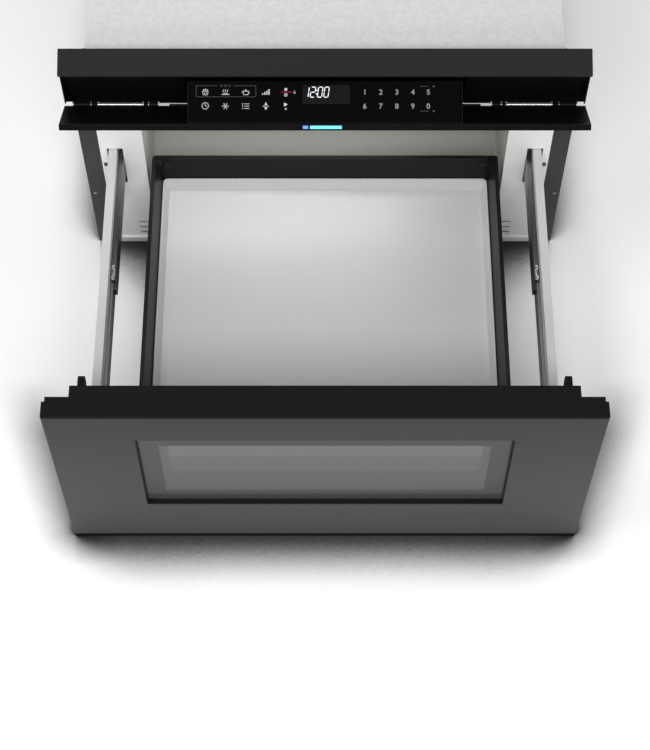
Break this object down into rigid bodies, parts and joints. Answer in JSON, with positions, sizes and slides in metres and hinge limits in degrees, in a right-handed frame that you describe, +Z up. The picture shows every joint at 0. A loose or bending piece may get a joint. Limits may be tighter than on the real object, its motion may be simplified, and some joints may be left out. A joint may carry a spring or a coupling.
{
  "type": "microwave drawer",
  "caption": "Built-in microwave oven whose tray slides out on telescopic arms under a tilting concealed control panel; shown open.",
  "frame": {"origin": "on the underside of the case, in the middle of its width and depth", "axes": "+X to the user's right, +Y into the kitchen cabinet, +Z up"},
  "size_m": [0.606, 0.9857, 0.3953],
  "materials": {
    "zinc_steel": "galvanised sheet, satin",
    "white_paint": "white powder coat",
    "dark_paint": "dark grey satin",
    "black_paint": "black satin",
    "black_plastic": "fine grain",
    "grey_plastic": "satin",
    "white_plastic": "satin",
    "cavity_paint": "olive grey enamel",
    "rail_steel": "bright drawn steel",
    "screw_steel": "zinc plated",
    "shaft_steel": "ground",
    "gear_plastic": "acetal",
    "aluminium": "as rolled",
    "black_glass": "gloss",
    "tinted_glass": "gloss",
    "clear_glass": "gloss",
    "dark_glass": "gloss",
    "white_ceramic": "satin glaze",
    "mica": "matte",
    "copper": "enamelled wire",
    "core_steel": "laminated",
    "board": "circuit board",
    "display": "display",
    "lens": "lit lens",
    "lamp_glass": "frosted",
    "perforated": "black, finely perforated"
  },
  "bodies": {
    "cabinet": {"base_pan": "zinc_steel", "case_wrap": "zinc_steel", "rear_panel": "zinc_steel", "cabinet_screws": "screw_steel", "cord_bushing": "black_plastic", "front_frame": "white_paint", "mounting_flanges": "dark_paint", "oven_cavity": "cavity_paint", "antenna_cover": "mica", "waveguide": "zinc_steel", "magnetron": "aluminium", "antenna_motor": "zinc_steel", "transformer_core": "core_steel", "transformer_windings": "copper", "capacitor": "aluminium", "power_board": "board", "blower_housing": "grey_plastic", "blower_motor": "zinc_steel", "oven_lamp": "lamp_glass", "rail_supports": "zinc_steel", "slide_outers": "rail_steel", "drive_unit": "zinc_steel", "interlock_switches": "black_plastic", "control_housing": "black_paint", "hinge_pins": "shaft_steel", "top_trim": "dark_paint"},
    "drawer": {"slide_inner_left": "rail_steel", "slide_inner_right": "rail_steel", "arm_left": "white_paint", "arm_right": "white_paint", "drive_rack": "gear_plastic", "tray_base": "black_plastic", "tray_frame": "black_paint", "tray_walls": "dark_glass", "ceramic_tray": "white_ceramic", "front_panel": "dark_paint", "top_cap": "black_paint", "bottom_trim": "black_plastic", "window_glass": "tinted_glass", "window_screen": "perforated", "door_frame": "black_paint", "choke_frame": "black_plastic", "inner_glass": "clear_glass", "latch_hooks": "black_plastic", "drawer_screws": "screw_steel"},
    "control_panel": {"control_flap": "black_paint", "indicator_lenses": "lens", "console_housing": "black_plastic", "control_glass": "black_glass", "display_module": "display", "control_board": "board", "flap_screws": "black_plastic"},
    "middle_slide_left": {"slide_middle_left": "rail_steel"},
    "middle_slide_right": {"slide_middle_right": "rail_steel"},
    "pinion": {"drive_pinion": "gear_plastic"},
    "motor_pinion": {"motor_gear": "gear_plastic"},
    "antenna": {"rotating_antenna": "aluminium"},
    "blower": {"blower_wheel": "black_plastic"},
    "plunger_left": {"interlock_plunger_left": "white_plastic"},
    "plunger_right": {"interlock_plunger_right": "white_plastic"}
  },
  "joints": [
    {"name": "drawer_slide", "type": "slide", "parent": "cabinet", "child": "drawer", "axis": [0, 1, 0], "range_m": [0, 0.3864]},
    {"name": "middle_slide_left_run", "type": "slide", "parent": "cabinet", "child": "middle_slide_left", "axis": [0, 1, 0], "range_m": [0, 0.194]},
    {"name": "middle_slide_right_run", "type": "slide", "parent": "cabinet", "child": "middle_slide_right", "axis": [0, 1, 0], "range_m": [0, 0.194]},
    {"name": "pinion_turn", "type": "hinge", "parent": "cabinet", "child": "pinion", "pos_m": [0.25986, -0.247, 0.12581], "axis": [1, 0, 0], "range_deg": [-1980, 10]},
    {"name": "motor_gear_turn", "type": "hinge", "parent": "cabinet", "child": "motor_pinion", "pos_m": [0.236, -0.221, 0.12581], "axis": [1, 0, 0], "range_deg": [-10, 6600]},
    {"name": "control_panel_tilt", "type": "hinge", "parent": "cabinet", "child": "control_panel", "pos_m": [0, -0.2957, 0.3169], "axis": [-1, 0, 0], "range_deg": [0, 60.4]},
    {"name": "antenna_turn", "type": "hinge", "parent": "cabinet", "child": "antenna", "pos_m": [0, -0.062, 0.04], "axis": [0, 0, 1], "continuous": true},
    {"name": "blower_turn", "type": "hinge", "parent": "cabinet", "child": "blower", "pos_m": [-0.07, 0.225, 0.215], "axis": [1, 0, 0], "continuous": true},
    {"name": "plunger_left_press", "type": "slide", "parent": "cabinet", "child": "plunger_left", "axis": [0, 1, 0], "range_m": [0, 0.0025], "stiffness_N_per_m": 400, "springref_m": -0.001},
    {"name": "plunger_right_press", "type": "slide", "parent": "cabinet", "child": "plunger_right", "axis": [0, 1, 0], "range_m": [0, 0.0025], "stiffness_N_per_m": 400, "springref_m": -0.001}
  ],
  "couplings": [
    {"joint": "middle_slide_left_run", "follows": "drawer_slide", "ratio": 0.5},
    {"joint": "middle_slide_right_run", "follows": "drawer_slide", "ratio": 0.5},
    {"joint": "pinion_turn", "follows": "drawer_slide", "rad_per_m": -88.889},
    {"joint": "motor_gear_turn", "follows": "drawer_slide", "rad_per_m": 296.3}
  ]
}
